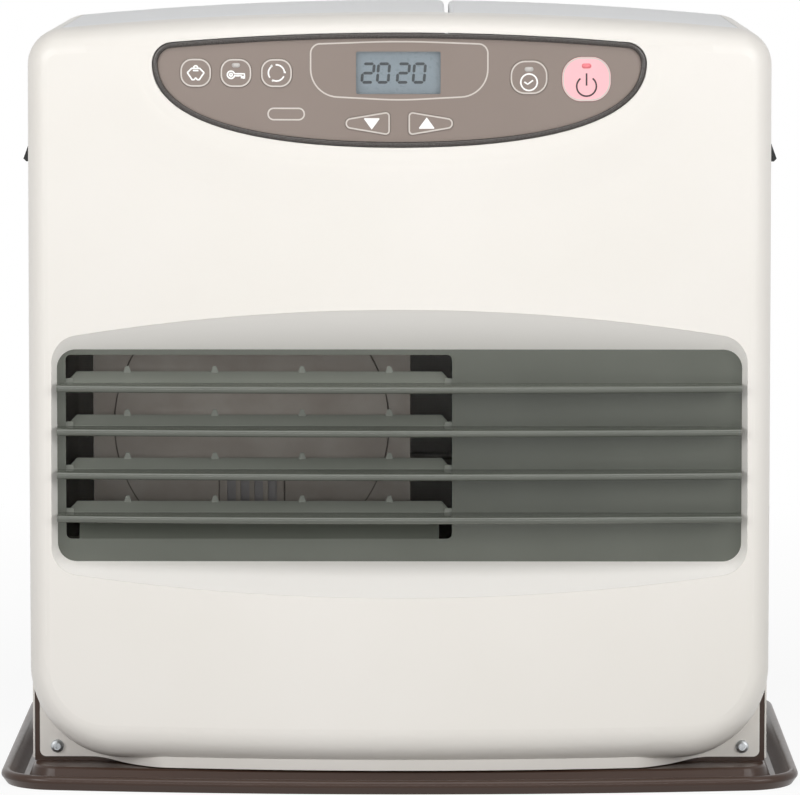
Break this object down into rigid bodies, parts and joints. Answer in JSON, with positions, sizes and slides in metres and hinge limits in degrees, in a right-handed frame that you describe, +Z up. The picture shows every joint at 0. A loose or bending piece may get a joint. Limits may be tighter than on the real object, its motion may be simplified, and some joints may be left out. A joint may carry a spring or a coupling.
{
  "type": "paraffin heater",
  "caption": "Free-standing paraffin fan heater: bowed white front, louvred hot air outlet, key panel with display, hinged lid over a lift-out fuel tank, drip tray.",
  "frame": {"origin": "under the middle of the drip tray, on the floor", "axes": "+Z up, -Y is the front with the control panel, +X is the right side with the fuel tank"},
  "size_m": [0.445, 0.31, 0.429],
  "materials": {
    "enamel_white": "satin baked enamel on steel sheet",
    "rear_steel": "coated steel sheet",
    "tray_brown": "glossy dark brown enamel",
    "louvre_grey": "heat-proof grey enamel",
    "chamber_steel": "heat-tinted steel",
    "fascia_brown": "fine satin plastic",
    "bezel_dark": "satin dark plastic",
    "key_pink": "translucent plastic",
    "display_clear": "clear window",
    "gauge_clear": "clear plastic window",
    "lcd_grey": "reflective display glass",
    "black_plastic": "fine grain",
    "grey_plastic": "moulded",
    "fan_metal": "stamped",
    "zinc_steel": "galvanised sheet",
    "tank_steel": "plated steel sheet",
    "cap_metal": "plated",
    "copper_pipe": "drawn",
    "cast_burner": "cast",
    "motor_steel": "plated",
    "board_green": "circuit board",
    "igniter_white": "ceramic"
  },
  "bodies": {
    "cabinet": {"air_box": "zinc_steel", "base_pan": "tray_brown", "blower_housing": "grey_plastic", "blower_motor": "motor_steel", "burner_head": "chamber_steel", "burner_pot": "cast_burner", "chamber_front": "chamber_steel", "combustion_chamber": "chamber_steel", "control_board": "board_green", "cord_gland": "black_plastic", "display_window": "display_clear", "drip_tray": "tray_brown", "fan_motor": "motor_steel", "fascia": "fascia_brown", "fascia_bezel": "bezel_dark", "flame_rod": "igniter_white", "front_cover": "enamel_white", "front_screws": "zinc_steel", "fuel_pipe": "copper_pipe", "fuel_pump": "motor_steel", "heat_shield": "zinc_steel", "igniter": "igniter_white", "lcd_module": "lcd_grey", "left_grip": "black_plastic", "left_side_panel": "enamel_white", "lid_hinge_pins": "zinc_steel", "louvre_bars": "louvre_grey", "louvre_panel": "louvre_grey", "louvre_vanes": "louvre_grey", "overheat_thermostat": "grey_plastic", "partition": "zinc_steel", "rear_panel": "rear_steel", "rear_screws": "zinc_steel", "right_grip": "black_plastic", "right_side_panel": "enamel_white", "room_sensor": "grey_plastic", "strainer": "zinc_steel", "sump": "zinc_steel", "supply_board": "board_green", "tilt_switch": "black_plastic", "top_plate": "enamel_white", "transformer": "motor_steel"},
    "lid": {"tank_lid": "enamel_white"},
    "tank": {"fuel_tank": "tank_steel", "tank_gauge": "gauge_clear"},
    "cap": {"tank_cap": "cap_metal"},
    "bail": {"tank_bail": "zinc_steel", "bail_grip": "black_plastic"},
    "fan": {"convection_fan": "fan_metal"},
    "blower": {"blower_impeller": "grey_plastic"},
    "filter": {"air_filter": "grey_plastic"},
    "key_economy": {"key_economy": "fascia_brown"},
    "key_lock": {"key_lock": "fascia_brown"},
    "key_extend": {"key_extend": "fascia_brown"},
    "key_down": {"key_down": "fascia_brown"},
    "key_up": {"key_up": "fascia_brown"},
    "key_timer": {"key_timer": "fascia_brown"},
    "key_power": {"key_power": "key_pink"}
  },
  "joints": [
    {"name": "tank_lift", "type": "slide", "parent": "cabinet", "child": "tank", "axis": [0, 0, 1], "range_m": [0, 0.284]},
    {"name": "lid_hinge", "type": "hinge", "parent": "cabinet", "child": "lid", "pos_m": [0.114, 0.119, 0.405], "axis": [-1, 0, 0], "range_deg": [0, 105]},
    {"name": "bail_swing", "type": "hinge", "parent": "tank", "child": "bail", "pos_m": [0.114, -0.033, 0.378], "axis": [-1, 0, 0], "range_deg": [0, 90]},
    {"name": "cap_turn", "type": "hinge", "parent": "tank", "child": "cap", "pos_m": [0.114, -0.029, 0.09], "axis": [0, 0, -1], "range_deg": [0, 360]},
    {"name": "filter_lift", "type": "slide", "parent": "cabinet", "child": "filter", "axis": [0, 0, 1], "range_m": [0, 0.12]},
    {"name": "fan_spin", "type": "hinge", "parent": "cabinet", "child": "fan", "pos_m": [-0.082, 0.1, 0.215], "axis": [0, 1, 0], "continuous": true},
    {"name": "blower_spin", "type": "hinge", "parent": "cabinet", "child": "blower", "pos_m": [-0.166, 0, 0.058], "axis": [0, 1, 0], "continuous": true},
    {"name": "press_economy", "type": "slide", "parent": "cabinet", "child": "key_economy", "axis": [0, 1, 0], "range_m": [0, 0.0008], "stiffness_N_per_m": 150, "springref_m": -0.003},
    {"name": "press_lock", "type": "slide", "parent": "cabinet", "child": "key_lock", "axis": [0, 1, 0], "range_m": [0, 0.0008], "stiffness_N_per_m": 150, "springref_m": -0.003},
    {"name": "press_extend", "type": "slide", "parent": "cabinet", "child": "key_extend", "axis": [0, 1, 0], "range_m": [0, 0.0008], "stiffness_N_per_m": 150, "springref_m": -0.003},
    {"name": "press_down", "type": "slide", "parent": "cabinet", "child": "key_down", "axis": [0, 1, 0], "range_m": [0, 0.0008], "stiffness_N_per_m": 150, "springref_m": -0.003},
    {"name": "press_up", "type": "slide", "parent": "cabinet", "child": "key_up", "axis": [0, 1, 0], "range_m": [0, 0.0008], "stiffness_N_per_m": 150, "springref_m": -0.003},
    {"name": "press_timer", "type": "slide", "parent": "cabinet", "child": "key_timer", "axis": [0, 1, 0], "range_m": [0, 0.0008], "stiffness_N_per_m": 150, "springref_m": -0.003},
    {"name": "press_power", "type": "slide", "parent": "cabinet", "child": "key_power", "axis": [0, 1, 0], "range_m": [0, 0.0008], "stiffness_N_per_m": 150, "springref_m": -0.003}
  ],
  "couplings": [
    {"joint": "lid_hinge", "follows": "tank_lift", "rad_per_m": 6.4516}
  ]
}
